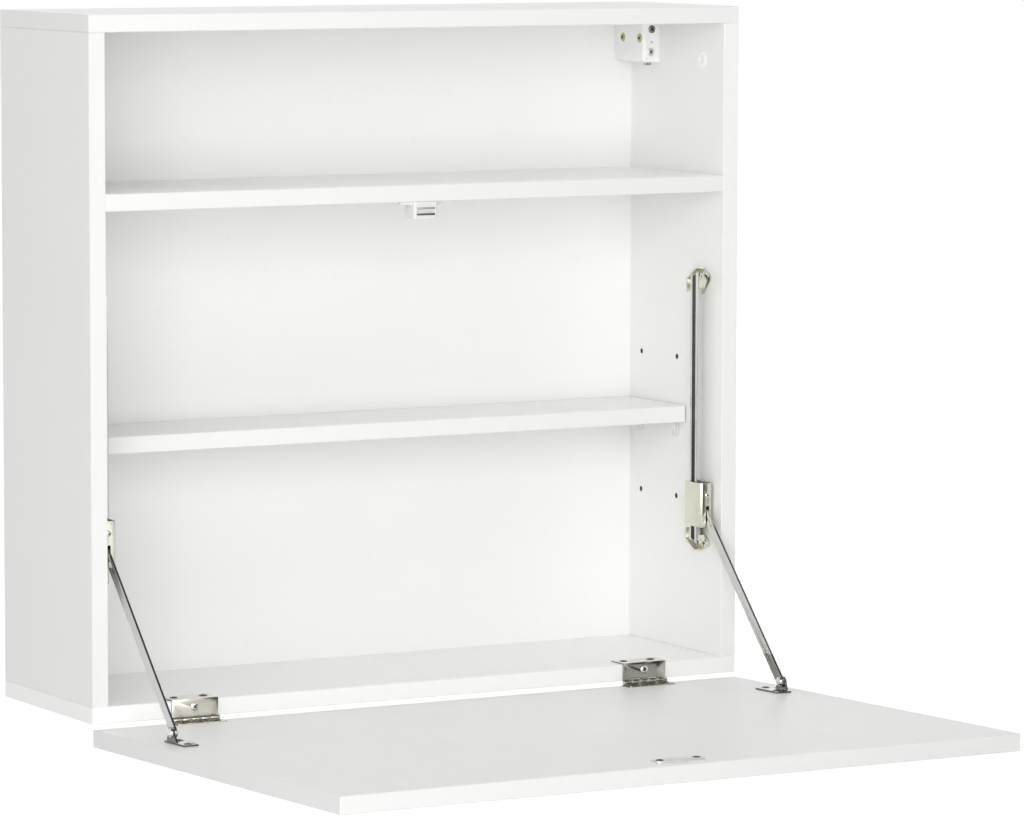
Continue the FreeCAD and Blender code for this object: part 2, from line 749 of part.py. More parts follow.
def end_bracket(apex_z, base_z):
    """A plate like a house front, with its rear slope and side bent out and a pad that carries the rail."""
    way = 1 if apex_z > base_z else -1
    rise = apex_z - base_z
    front_y = at_setback(bracket_setback)
    rear_y = front_y + bracket_width
    corners = [vec(inner_half, front_y + bracket_width * across, base_z + rise * up)
               for across, up in gable_shares]
    apex_y = max(corners, key=lambda corner: way * corner.z).y
    outline = Part.makePolygon(corners + corners[:1])
    sheet = bracket_prism(outline, bracket_plate)
    hollow = Part.Face(outline.makeOffset2D(-bracket_wall)).extrude(vec(-bracket_flange, 0, 0))
    flange_x = (inner_half - bracket_flange, inner_half)
    flange_z = (base_z + way * bracket_wall, apex_z)
    flange = bracket_prism(outline, bracket_flange).cut(hollow)
    flange = flange.common(block(flange_x, (apex_y, rear_y), flange_z))
    pad_x = (inner_half - rail_stand_off, inner_half)
    pad_z = (base_z, base_z + way * bracket_pad_rise)
    pad = bracket_prism(outline, rail_stand_off).common(block(pad_x, rail_span(), pad_z))
    screw_y = front_y + bracket_screw_inset
    screw_z = apex_z - way * bracket_screw_drop
    screw_x = inner_half - bracket_plate
    screw_step = bracket_screw_spacing / 2
    places = [(vec(screw_x, screw_y + step * screw_step, screw_z), X_AXIS * -1) for step in (-1, 1)]
    return sheet.fuse([flange, pad]).removeSplitter(), places


def stay_rail(side, sign):
    channel, liner = rail()
    add("stay_rail_" + side, sided(channel, side))
    add("stay_liner_" + side, sided(liner, side))
    low_base = at_height(lower_bracket_height + lower_bracket_rise)
    ends = (("stay_upper_bracket_", upper_bracket_low + upper_bracket_rise, upper_bracket_low),
            ("stay_lower_bracket_", at_height(lower_bracket_height), low_base))
    for name, apex_z, base_z in ends:
        shape, places = end_bracket(apex_z, base_z)
        node = name + side
        add(node, sided(shape, side))
        placed_screws = [(vec(sign * point.x, point.y, point.z), vec(sign * out.x, 0, 0))
                         for point, out in places]
        add_screws("stay_bracket_screws", (node, side + "_side_panel"), placed_screws)


# Slider: a folded housing, open behind, that runs along the rail and carries the link's upper end
def brake_screw(point, outward):
    return screw(point, outward, brake_screw_head_radius, screw_head_rise, brake_screw_radius,
                 brake_screw_length)


def front_bevelled(shape, size):
    """A block with its two upright front edges bevelled."""
    middle = shape.CenterOfMass.y
    front_edges = [edge for edge in edges_along(shape, Z_AXIS) if edge.CenterOfMass.y < middle]
    return shape.makeChamfer(size, front_edges)


def stay_slider(side, sign):
    outer_x = inner_half - slider_side_gap
    face_x = outer_x - slider_width
    pivot_y = at_setback(stay_pivot_setback)
    pivot_z = at_height(stay_pivot_height)
    web_y = at_setback(slider_setback)
    slider_y = (web_y, web_y + slider_depth)
    slider_z = (pivot_z - slider_below, pivot_z + slider_above)
    shell = block((face_x, outer_x), slider_y, slider_z)
    shell = front_bevelled(shell, slider_bevel)
    inside_x = (face_x + slider_wall, outer_x - slider_wall)
    inside = block(inside_x, (web_y + slider_wall, slider_y[1] + cut_overrun),
                   (slider_z[0] - cut_overrun, slider_z[1] + cut_overrun))
    inside = front_bevelled(inside, slider_inner_bevel)
    half_slot = link_thickness / 2 + link_slot_gap
    slot = block((link_x - half_slot, link_x + half_slot),
                 (web_y - cut_overrun, web_y + slider_wall + cut_overrun),
                 (slider_z[0] - cut_overrun, pivot_z + link_slot_rise))
    pin_hole = rod(vec(face_x - cut_overrun, pivot_y, pivot_z), X_AXIS, pivot_pin_radius + fit_gap,
                   slider_width + 2 * cut_overrun)
    node = "stay_slider_" + side
    add(node, sided(shell.cut([inside, slot, pin_hole]), side))
    pin = rod(vec(face_x, pivot_y, pivot_z), X_AXIS, pivot_pin_radius, slider_width)
    add("stay_slider_pin_" + side, sided(pin, side))

    # The brake pad is pressed towards the rail by its screw.
    pad_y = (web_y + slider_wall, at_setback(rail_setback) - brake_pad_gap)
    pad_z = (pivot_z + brake_pad_base, slider_z[1] - brake_pad_head_room)
    pad_node = "stay_brake_pad_" + side
    add(pad_node, sided(front_bevelled(block(inside_x, pad_y, pad_z), slider_inner_bevel), side))
    screw_point = vec(sign * link_x, web_y, pivot_z + brake_screw_rise)
    add_screws("stay_brake_screw_" + side, (node, pad_node), [(screw_point, Y_AXIS * -1)], brake_screw)


# Link, flap bracket and rivet
def flap_pivot():
    """The rivet's place on the flap, with the flap level."""
    return vec(link_x, at_reach(flap_pivot_reach), flap_face_z + flap_pivot_rise)


def tilted(shape):
    return shape.rotated(vec(0, hinge_y, hinge_z), X_AXIS, -flap_tilt)


def stay_link(side):
    upper = vec(link_x, at_setback(stay_pivot_setback), at_height(stay_pivot_height))
    lower = tilted(Part.Vertex(flap_pivot())).Point
    run = upper - lower
    length = run.Length
    start_x = vec(link_x - link_thickness / 2, 0, 0)
    radius = link_width / 2
    bar = block((0, link_thickness), (-radius, radius), (0, length))
    ends = [rod(vec(0, 0, height), X_AXIS, radius, link_thickness) for height in (0, length)]
    bar = bar.fuse(ends).removeSplitter()
    hole_run = link_thickness + 2 * cut_overrun
    holes = [rod(vec(-cut_overrun, 0, height), X_AXIS, hole_radius + running_gap, hole_run)
             for height, hole_radius in ((0, rivet_radius), (length, pivot_pin_radius))]
    bar = bar.cut(holes)
    lean = math.degrees(math.atan2(run.y, run.z))
    bar.rotate(ORIGIN, X_AXIS, -lean)
    bar.translate(vec(start_x.x, lower.y, lower.z))
    add("stay_link_" + side, sided(bar, side))


def flap_bracket(side, sign):
    pivot = flap_pivot()
    ear_x = link_x + link_thickness / 2 + ear_gap
    ear = plate([
        vec(ear_x, pivot.y - ear_base_front, flap_face_z),
        vec(ear_x, pivot.y + ear_base_rear, flap_face_z),
        vec(ear_x, pivot.y + ear_radius, pivot.z),
        vec(ear_x, pivot.y - ear_radius, pivot.z),
    ], vec(ear_thickness, 0, 0))
    ear = ear.fuse(rod(vec(ear_x, pivot.y, pivot.z), X_AXIS, ear_radius, ear_thickness))

    # The foot lies under the link, and the ear stands on its outer edge.
    face_z = flap_face_z + foot_thickness
    foot = block((link_x - foot_inner, ear_x + ear_thickness), (pivot.y - foot_front, pivot.y + foot_rear),
                 (flap_face_z, face_z))
    inner_edges = [edge for edge in edges_along(foot, Z_AXIS) if edge.CenterOfMass.x < link_x]
    bracket = ear.fuse(foot.makeFillet(foot_round, inner_edges)).removeSplitter()
    node = "stay_flap_bracket_" + side
    rivet_hole = rod(vec(link_x - rivet_head_height, pivot.y, pivot.z), X_AXIS, rivet_radius + fit_gap,
                     ear_thickness + 2 * rivet_head_height + link_thickness)
    bracket = bracket.cut(rivet_hole)

    # Both brackets are the same stamping, so the left one is turned half round.
    if side == "left":
        bracket = bracket.rotated(vec(0, pivot.y, 0), Z_AXIS, half_turn)
    add(node, bracket, on_flap=True)
    spots = ((foot_rear_screw_inset, foot_rear_screw_reach), (foot_front_screw_inset, -foot_front_screw_reach))
    places = [(vec(sign * (link_x - inset), pivot.y + sign * reach, face_z), Z_AXIS) for inset, reach in spots]
    add_screws("flap_bracket_screws", (node, "flap_panel"), places, on_flap=True)

    # The rivet's heads lie outside the ear and inside the link.
    inner_face = link_x - link_thickness / 2 - rivet_gap
    outer_face = ear_x + ear_thickness
    crown = rivet_head_radius * head_flat_share
    rivet = rod(vec(inner_face, pivot.y, pivot.z), X_AXIS, rivet_radius, outer_face - inner_face)
    for face, outward in ((inner_face, X_AXIS * -1), (outer_face, X_AXIS)):
        head = frustum(rivet_head_radius, crown, rivet_sides, 0, rivet_head_height)
        rivet = rivet.fuse(placed(head, vec(face, pivot.y, pivot.z), outward))
    add("stay_rivet_" + side, sided(rivet, side), on_flap=True)


def build():
    carcass()
    joinery()
    adjustable_shelf()
    catch()
    flap()
    strike_plate()
    for side, sign in (("left", -1), ("right", 1)):
        hanger(side, sign)
        hinge(side, sign)
        stay_rail(side, sign)
        stay_slider(side, sign)
        stay_link(side)
        flap_bracket(side, sign)


def finished(node):
    solids = []
    for shape in pieces[node]:
        near = [cutter for cutter in cutters.get(node, []) if cutter.BoundBox.intersect(shape.BoundBox)]
        if near:
            shape = shape.cut(near)
        if node in flap_nodes:
            shape = tilted(shape)
        solids.extend(shape.Solids)
    return solids[0] if len(solids) == 1 else Part.makeCompound(solids)


def main():
    build()
    os.makedirs("parts", exist_ok=True)
    for node in sorted(pieces):
        shape = finished(node)
        shape.exportStep("parts/" + node + ".step")
        state = "valid" if shape.isValid() else "NOT VALID"
        print(node, len(shape.Solids), "solids", state, round(shape.Volume, 1))


main()
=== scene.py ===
import json
import math

import bmesh
import bpy
import numpy
from mathutils import Matrix, Vector

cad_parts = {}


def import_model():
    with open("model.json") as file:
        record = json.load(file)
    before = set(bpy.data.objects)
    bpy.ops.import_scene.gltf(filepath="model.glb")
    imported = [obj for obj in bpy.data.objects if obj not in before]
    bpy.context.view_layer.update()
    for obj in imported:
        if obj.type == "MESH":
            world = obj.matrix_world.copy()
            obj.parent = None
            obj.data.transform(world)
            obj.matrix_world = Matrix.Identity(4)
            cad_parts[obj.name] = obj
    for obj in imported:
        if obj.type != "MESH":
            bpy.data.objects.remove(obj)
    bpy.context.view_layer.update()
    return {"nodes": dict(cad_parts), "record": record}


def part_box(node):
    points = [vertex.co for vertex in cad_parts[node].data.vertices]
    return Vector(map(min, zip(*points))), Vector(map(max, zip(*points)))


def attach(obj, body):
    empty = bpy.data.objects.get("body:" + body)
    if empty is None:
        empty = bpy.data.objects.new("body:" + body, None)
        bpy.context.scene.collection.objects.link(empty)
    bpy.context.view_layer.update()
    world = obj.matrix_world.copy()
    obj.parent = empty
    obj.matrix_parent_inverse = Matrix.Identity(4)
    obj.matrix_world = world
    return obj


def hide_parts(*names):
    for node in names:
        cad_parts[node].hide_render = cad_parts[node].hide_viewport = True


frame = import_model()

# Looks of a white fold down wall desk: melamine boards, plated hinges and stays, small moulded fittings.
# Metres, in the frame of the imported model: X to the right, Y into the wall, Z up.
record = frame["record"]
body_of = {node: body for body, nodes in record["behaviour"]["bodies"].items() for node in nodes}
slot_of = {part["node"]: part["material_slot"] for part in record["subparts"]}
sides = ("left", "right")
MM = 0.001

# Camera, in the photograph's frame of 1024 by 818
camera_place = (-2.2468, -4.3340, 0.7227)
camera_azimuth = math.radians(-29.3488)
camera_elevation = math.radians(5.7501)
camera_roll = math.radians(0.1100)
camera_lens = 191.0
camera_sensor = 36.0
camera_reach = 200.0

# Mesh finish
weld_distance = 0.002 * MM
flat_angle = math.radians(0.5)
sharp_angle = math.radians(28)
smooth_angle = math.radians(50)
bevel_segments = 3
lathe_segments = 40
golden_angle = math.pi * (3 - math.sqrt(5))


# Node helpers
def add(tree, kind, inputs=None, **settings):
    node = tree.nodes.new(kind)
    for name, value in settings.items():
        setattr(node, name, value)
    for socket, value in (inputs or {}).items():
        if isinstance(value, bpy.types.NodeSocket):
            tree.links.new(value, node.inputs[socket])
        else:
            node.inputs[socket].default_value = value
    return node


def new_material(name):
    made = bpy.data.materials.new(name)
    made.use_nodes = True
    return made, made.node_tree, made.node_tree.nodes["Principled BSDF"]


def place(tree):
    return add(tree, "ShaderNodeTexCoord").outputs["Object"]


def noise(tree, scale, detail=3.0, stretch=(1, 1, 1)):
    spot = add(tree, "ShaderNodeMapping", {"Vector": place(tree), "Scale": stretch}).outputs[0]
    made = add(tree, "ShaderNodeTexNoise", {"Vector": spot, "Scale": scale, "Detail": detail})
    return made.outputs["Fac"]


def ramp(tree, factor, stops):
    """A colour ramp: stops are (position, colour) pairs."""
    node = add(tree, "ShaderNodeValToRGB", {"Fac": factor})
    for element, (position, colour) in zip(node.color_ramp.elements, stops):
        element.position = position
        element.color = (*colour, 1)
    return node.outputs["Color"]


def spread(tree, factor, low, high, span=(0.35, 0.65)):
    node = add(tree, "ShaderNodeMapRange", {"Value": factor, "From Min": span[0], "From Max": span[1],
                                            "To Min": low, "To Max": high})
    return node.outputs["Result"]


def math_node(tree, operation, first, second=0.0):
    return add(tree, "ShaderNodeMath", {0: first, 1: second}, operation=operation).outputs[0]


def reach_along(tree, vector, way):
    made = add(tree, "ShaderNodeVectorMath", {0: vector, 1: way}, operation="DOT_PRODUCT")
    return made.outputs["Value"]


def facing_share(tree, way):
    """One on faces that look along a direction, either way, and zero on faces that lie along it."""
    normal = add(tree, "ShaderNodeTexCoord").outputs["Normal"]
    return math_node(tree, "ABSOLUTE", reach_along(tree, normal, way))


def height_of(tree):
    return add(tree, "ShaderNodeSeparateXYZ", {0: place(tree)}).outputs["Z"]


def far_from(tree, point):
    """The distances along X, Y and Z from a point."""
    apart = add(tree, "ShaderNodeVectorMath", {0: place(tree), 1: point}, operation="SUBTRACT").outputs[0]
    parts = add(tree, "ShaderNodeSeparateXYZ", {0: apart}).outputs
    return [math_node(tree, "ABSOLUTE", part) for part in parts]


def middle_and_half(node):
    low, high = (Vector(corner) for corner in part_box(node))
    return (low + high) / 2, (high - low) / 2


def tint(tree, colour, factor, other):
    """A colour mixed with another by a factor."""
    node = add(tree, "ShaderNodeMix", {"Factor": factor}, data_type="RGBA", blend_type="MIX")
    for socket, value in ((node.inputs[6], colour), (node.inputs[7], other)):
        if isinstance(value, bpy.types.NodeSocket):
            tree.links.new(value, socket)
        else:
            socket.default_value = (*value, 1)
    return node.outputs[2]


def connect(tree, shader, colour=None, roughness=None, height=None, strength=0.1, depth=0.1 * MM):
    if colour is not None:
        tree.links.new(colour, shader.inputs["Base Color"])
    if roughness is not None:
        tree.links.new(roughness, shader.inputs["Roughness"])
    if height is not None:
        bump = add(tree, "ShaderNodeBump", {"Strength": strength, "Distance": depth, "Height": height})
        tree.links.new(bump.outputs["Normal"], shader.inputs["Normal"])


# Boards: satin white melamine with banded edges
melamine_pale = (0.868, 0.872, 0.858)
melamine_dark = (0.852, 0.856, 0.840)
band_white = (0.852, 0.854, 0.842)
# Tones per board for faces and bands: each board is set lighter or darker as painted light and shade.
board_light_tones = {
    "top_panel": (1.05, 0.985), "left_side_panel": (0.99, 0.965), "right_side_panel": (0.975, 1.045),
    "fixed_shelf": (1.09, 0.985), "adjustable_shelf": (1.07, 1.04), "bottom_panel": (1.07, 1.10),
    "flap_panel": (1.0, 0.92), "back_panel": (1.055, 1.055)}
seam_grey = (0.70, 0.70, 0.68)
scuff_grey = (0.80, 0.80, 0.785)
core_brown = (0.10, 0.085, 0.065)
seam_width = 0.35 * MM
seam_share = 0.6
band_inset = 0.5 * MM
skin = 0.4 * MM
core_margin = 3.0 * MM
broad_share = 0.8


def broad_way(node):
    """The direction across a board's broad faces, and its lowest and highest place along it."""
    areas = {}
    mesh = frame["nodes"][node].data
    for face in mesh.polygons:
        way = face.normal if sum(face.normal) > 0 else -face.normal
        key = tuple(round(part, 3) for part in way)
        areas[key] = areas.get(key, 0) + face.area
    way = Vector(max(areas, key=areas.get)).normalized()
    reach = [way.dot(vertex.co) for vertex in mesh.vertices]
    return way, min(reach), max(reach)


def in_core(tree, node, inset):
    """One on the walls and floors of bores, where the raw core of a board shows."""
    middle, half = middle_and_half(node)
    found = math_node(tree, "GREATER_THAN", inset, skin)
    for reach, limit in zip(far_from(tree, middle), half):
        if limit != min(half):
            within = math_node(tree, "LESS_THAN", reach, limit - core_margin)
            found = math_node(tree, "MULTIPLY", found, within)
    return found


def board_material(node, pale, dark, band):
    made, tree, shader = new_material(node + "_melamine")
    way, low, high = broad_way(node)
    middle = (low + high) / 2
    across = reach_along(tree, place(tree), way)
    from_middle = math_node(tree, "ABSOLUTE", math_node(tree, "SUBTRACT", across, middle))
    inset = math_node(tree, "SUBTRACT", (high - low) / 2, from_middle)
    narrow = math_node(tree, "LESS_THAN", facing_share(tree, way), broad_share)
    off_seam = math_node(tree, "ABSOLUTE", math_node(tree, "SUBTRACT", inset, band_inset))
    seam = math_node(tree, "MULTIPLY", narrow, math_node(tree, "LESS_THAN", off_seam, seam_width / 2))

    clouds = noise(tree, 5.0, 4.0)
    face_colour = ramp(tree, clouds, ((0.3, dark), (0.7, pale)))
    scuffs = spread(tree, noise(tree, 130.0, 6.0), 0.0, 0.35, (0.66, 0.78))
    face_colour = tint(tree, face_colour, scuffs, scuff_grey)
    colour = tint(tree, face_colour, narrow, band)
    colour = tint(tree, colour, math_node(tree, "MULTIPLY", seam, seam_share), seam_grey)
    colour = tint(tree, colour, in_core(tree, node, inset), core_brown)
    roughness = spread(tree, noise(tree, 60.0, 4.0), 0.30, 0.40)
    peel = math_node(tree, "ADD", noise(tree, 900.0, 2.0), noise(tree, 90.0, 2.0))
    connect(tree, shader, colour, roughness, peel, 0.12, 0.05 * MM)
    shader.inputs["Specular IOR Level"].default_value = 0.5
    return made


# Plated and plain metals
# Dark steel for bare cut ends, also used as painted shade.
bare_steel_and_shade = (0.13, 0.13, 0.125)
sheared_share = 0.6
front_share = 0.8
# How dark the right hinge's front is painted, as painted shade.
front_shade_share = 0.5
upright_share = 0.5
wall_depth = 0.8 * MM
# A painted dark reflection on the lower end of the right link.
dark_foot_height = 22 * MM
dark_foot_fade = 1 * MM
dark_foot_share = 0.65


def metal(name, pale, dark, rough, brush=(1, 1, 1), brush_scale=500.0, bump_strength=0.1, bare_and_shaded=None):
    """Plated metal: cloudy plating, fine marks along one way, brighter worn edges, and dark faces that
    are bare steel on cut ends and painted shade elsewhere.
    """
    made, tree, shader = new_material(name)
    clouds = noise(tree, 140.0, 4.0)
    colour = ramp(tree, clouds, ((0.3, dark), (0.7, pale)))
    sharpness = add(tree, "ShaderNodeNewGeometry").outputs["Pointiness"]
    worn = spread(tree, sharpness, 0.0, 0.55, (0.52, 0.62))
    bright = tuple(min(1.0, part * 1.2) for part in pale)
    colour = tint(tree, colour, worn, bright)
    if bare_and_shaded:
        colour = tint(tree, colour, bare_and_shaded(tree), bare_steel_and_shade)
    marks = noise(tree, brush_scale, 3.0, brush)
    roughness = spread(tree, marks, rough[0], rough[1])
    connect(tree, shader, colour, roughness, marks, bump_strength, 0.03 * MM)
    shader.inputs["Metallic"].default_value = 1.0
    return made


def sheared_ends(tree):
    """The cut ends of a strip that runs along X."""
    return math_node(tree, "GREATER_THAN", facing_share(tree, (1, 0, 0)), sheared_share)


def sheared_ends_and_shaded_front(tree):
    """The cut ends of a strip, and its front darkened as painted shade."""
    front = math_node(tree, "GREATER_THAN", facing_share(tree, (0, 1, 0)), front_share)
    return math_node(tree, "MAXIMUM", sheared_ends(tree), math_node(tree, "MULTIPLY", front, front_shade_share))


# The upright faces of the flap brackets, painted dark as painted shade.
def shaded_upright_faces(tree):
    return math_node(tree, "LESS_THAN", facing_share(tree, (0, 0, 1)), upright_share)


def shaded_inside_of(node):
    """Tells the inner faces of a hollow piece from its outer ones, to paint them dark as painted shade.
    """
    middle, half = middle_and_half(node)

    def mask(tree):
        reach_x, reach_y, _ = far_from(tree, middle)
        within_x = math_node(tree, "LESS_THAN", reach_x, half.x - wall_depth)
        within_y = math_node(tree, "LESS_THAN", reach_y, half.y - wall_depth)
        return math_node(tree, "MULTIPLY", within_x, within_y)
    return mask


def shaded_lower_half(node):
    """Tells a node's lower half from its upper one, to paint it dark as painted shade."""
    middle, _ = middle_and_half(node)
    return lambda tree: math_node(tree, "LESS_THAN", height_of(tree), middle.z)


def painted_dark_foot(tree):
    """The darker end of a link, next to its rivet: a painted dark reflection."""
    fade = (dark_foot_height, dark_foot_height + dark_foot_fade)
    return spread(tree, height_of(tree), dark_foot_share, 0.0, fade)


def plastic(name, pale, dark, rough, clear=0.0):
    made, tree, shader = new_material(name)
    colour = ramp(tree, noise(tree, 220.0, 4.0), ((0.3, dark), (0.7, pale)))
    fine = noise(tree, 1800.0, 2.0)
    roughness = spread(tree, noise(tree, 350.0, 3.0), rough[0], rough[1])
    connect(tree, shader, colour, roughness, fine, 0.15, 0.02 * MM)
    shader.inputs["Transmission Weight"].default_value = clear
    shader.inputs["IOR"].default_value = 1.46
    return made


def wood(name, pale, dark):
    made, tree, shader = new_material(name)
    grain = noise(tree, 400.0, 5.0, (1, 1, 0.15))
    connect(tree, shader, ramp(tree, grain, ((0.3, dark), (0.7, pale))),
            spread(tree, grain, 0.55, 0.8), grain, 0.4, 0.1 * MM)
    return made


# Finishes: ways of brushing, then a pale colour, a dark one and the range of roughness of each metal
brush_x = (0.06, 1, 1)
brush_z = (1, 1, 0.06)
along_x = {"brush": brush_x, "brush_scale": 900.0, "bump_strength": 0.02}
along_z = {"brush": brush_z, "brush_scale": 900.0, "bump_strength": 0.02}
satin_z = {**along_z, "bump_strength": 0.03}
nickel = (0.645, 0.63, 0.54), (0.615, 0.60, 0.51), (0.20, 0.27)
hinge_nickel = (0.67, 0.645, 0.58), (0.64, 0.615, 0.55), (0.11, 0.17)
bright_nickel = (0.72, 0.715, 0.69), (0.66, 0.655, 0.63), (0.07, 0.14)
rail_steel = (0.60, 0.60, 0.585), (0.57, 0.57, 0.555), (0.16, 0.22)
# The left link's steel is set darker than the right one's as painted shade.
link_steel_left_shaded = (0.52, 0.52, 0.515), (0.48, 0.48, 0.475), (0.14, 0.2)
link_steel_right = (0.60, 0.60, 0.595), (0.56, 0.56, 0.555), (0.14, 0.2)
bracket_steel = (0.66, 0.655, 0.63), (0.60, 0.595, 0.57), (0.1, 0.18)
pole_steel = (0.42, 0.42, 0.41), (0.36, 0.36, 0.35), (0.3, 0.45)
materials = {
    "beech": wood("raw_beech", (0.72, 0.55, 0.37), (0.58, 0.42, 0.26)),
    "zinc": metal("zinc_plate", (0.60, 0.60, 0.60), (0.52, 0.52, 0.53), (0.24, 0.36)),
    "nickel": metal("satin_nickel", *nickel, **satin_z),
    "rail_steel": metal("rail_steel", *rail_steel, **along_z),
    "hinge_left": metal("hinge_nickel_left", *hinge_nickel, **along_x, bare_and_shaded=sheared_ends),
    "hinge_right": metal("hinge_nickel_right", *hinge_nickel, **along_x, bare_and_shaded=sheared_ends_and_shaded_front),
    "bright_nickel": metal("bright_nickel", *bright_nickel, bump_strength=0.03),
    "link_left": metal("link_steel_left_shaded", *link_steel_left_shaded, **along_z),
    "link_right": metal("link_steel_right", *link_steel_right, **along_z, bare_and_shaded=painted_dark_foot),
    "bracket_steel": metal("bracket_steel", *bracket_steel, bump_strength=0.03, bare_and_shaded=shaded_upright_faces),
    # Dark colour for screws that face up: painted shade.
    "painted_shade_screw": metal("painted_shade_screw", (0.10, 0.10, 0.095), (0.06, 0.06, 0.06), (0.2, 0.35)),
    "dark_steel": metal("dark_steel", (0.24, 0.24, 0.235), (0.17, 0.17, 0.17), (0.25, 0.4)),
    "recess": metal("recess_shadow", (0.045, 0.045, 0.042), (0.025, 0.025, 0.025), (0.5, 0.7)),
    "brass_screw": metal("yellow_zinc", (0.60, 0.54, 0.30), (0.48, 0.43, 0.24), (0.16, 0.3)),
    "strike_steel": metal("strike_steel", (0.80, 0.82, 0.79), (0.72, 0.74, 0.71), (0.28, 0.4), brush_x),
    "white_plastic": plastic("white_moulding", (0.90, 0.905, 0.90), (0.88, 0.885, 0.88), (0.28, 0.4)),
    "clear_plastic": plastic("clear_moulding", (0.93, 0.94, 0.93), (0.90, 0.91, 0.90), (0.1, 0.25), 0.2),
    "black_plastic": plastic("black_moulding", (0.022, 0.022, 0.022), (0.012, 0.012, 0.012), (0.4, 0.6)),
    "magnet": plastic("magnet_cover", (0.80, 0.80, 0.79), (0.74, 0.74, 0.73), (0.5, 0.7)),
    # The catch's moulding is set darker than the white moulding as painted shadow from the shelf above.
    "catch_shaded_plastic": plastic("catch_moulding_shaded", (0.78, 0.785, 0.78), (0.755, 0.76, 0.755), (0.3, 0.42)),
}


def paint(obj, material):
    obj.data.materials.clear()
    obj.data.materials.append(material)


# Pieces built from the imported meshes
def welded(node):
    form = bmesh.new()
    form.from_mesh(frame["nodes"][node].data)
    bmesh.ops.remove_doubles(form, verts=form.verts, dist=weld_distance)
    return form


def finish_piece(name, form, node, material):
    """Turns a form into a piece that stands for a node."""
    mesh = bpy.data.meshes.new(name)
    form.normal_update()
    form.to_mesh(mesh)
    form.free()
    for face in mesh.polygons:
        face.use_smooth = True
    mesh.set_sharp_from_angle(angle=smooth_angle)
    piece = bpy.data.objects.new(name, mesh)
    bpy.context.scene.collection.objects.link(piece)
    paint(piece, material)
    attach(piece, body_of[node])
    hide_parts(node)
    return piece


def softened(node, width, material=None):
    """A node's own shape with its sharp edges rounded."""
    form = welded(node)
    bmesh.ops.dissolve_limit(form, angle_limit=flat_angle, verts=form.verts, edges=form.edges)
    sharp = [edge for edge in form.edges if edge.is_manifold and edge.calc_face_angle() > sharp_angle]
    bmesh.ops.bevel(form, geom=sharp, offset=width, offset_type="OFFSET", segments=bevel_segments,
                    profile=0.5, affect="EDGES", clamp_overlap=True)
    for layer in list(form.loops.layers.float_vector.values()):
        form.loops.layers.float_vector.remove(layer)
    return finish_piece(node + "_formed", form, node, material or materials[slot_of[node]])


def islands(node):
    """The points of each separate solid of a node."""
    form = welded(node)
    left = set(form.verts)
    found = []
    while left:
        open_points = [left.pop()]
        group = []
        while open_points:
            point = open_points.pop()
            group.append(tuple(point.co))
            for edge in point.link_edges:
                other = edge.other_vert(point)
                if other in left:
                    left.remove(other)
                    open_points.append(other)
        found.append(numpy.array(group))
    form.free()
    found.sort(key=lambda group: tuple(group.mean(axis=0).round(5)))
    return found


def principal(points, shortest=False):
    """The middle of a solid, and its longest or shortest axis."""
    middle = points.mean(axis=0)
    _, ways = numpy.linalg.eigh(numpy.cov((points - middle).T))
    return middle, ways[:, 0 if shortest else -1]


def lathe(form, profile, matrix, segments=lathe_segments):
    """Turns a profile of (radius, height) points about Z and places it. Both ends lie on the axis."""
    rings = []
    for radius, height in profile:
        if radius == 0:
            rings.append([form.verts.new(matrix @ Vector((0, 0, height)))])
            continue
        ring = []
        for index in range(segments):
            turn = 2 * math.pi * index / segments
            spot = Vector((radius * math.cos(turn), radius * math.sin(turn), height))
            ring.append(form.verts.new(matrix @ spot))
        rings.append(ring)
    for lower, upper in zip(rings, rings[1:]):
        for index in range(segments):
            follow = (index + 1) % segments
            corners = [lower[index % len(lower)], lower[follow % len(lower)],
                       upper[follow % len(upper)], upper[index % len(upper)]]
            form.faces.new(list(dict.fromkeys(corners)))


def facing(way, turn=0.0):
    """The rotation that turns Z to a direction, after a turn about it."""
    lean = Vector((0, 0, 1)).rotation_difference(Vector(way)).to_matrix().to_4x4()
    return lean @ Matrix.Rotation(turn, 4, "Z")


# Screws with a cross recess, mostly as shares of the head's radius or rise
outermost_share = 0.95
screw_segments = 32
dome_rings = 6
dome_share = 0.95
rim_share = 0.28
rim_radius_share = 0.97
rim_bevel_share = 0.6
flat_rise = 0.1 * MM
cone_share = 0.8
seat_gap = 0.002 * MM
recess_arm_share = 0.58
recess_floor_share = 0.2
recess_half_width_share = 0.14
recess_depth_share = 0.34
recess_over_share = 0.2
recess_arm_flare = 1.3
recess_width_flare = 1.25
recess_width_taper = 0.7
recess_edge_share = 0.85
recess_sunk_share = 0.03
upward_share = 0.7


class Screw:
    """One screw of a node: its place, the way its head faces, and its sizes."""

    def __init__(self, points):
        middle, axis = principal(points)
        along = (points - middle) @ axis
        radial = numpy.linalg.norm(points - middle - numpy.outer(along, axis), axis=1)
        wide = along[radial > outermost_share * radial.max()]
        if wide.mean() < 0:
            axis, along, wide = -axis, -along, -wide
        self.seat = Vector(middle + axis * wide.max())
        self.way = Vector(axis)
        self.radius = radial.max()
        self.rise = along.max() - wide.max()
        self.length = wide.max() - along.min()
        self.shank = radial[along < along.min() + self.length / 4].max()


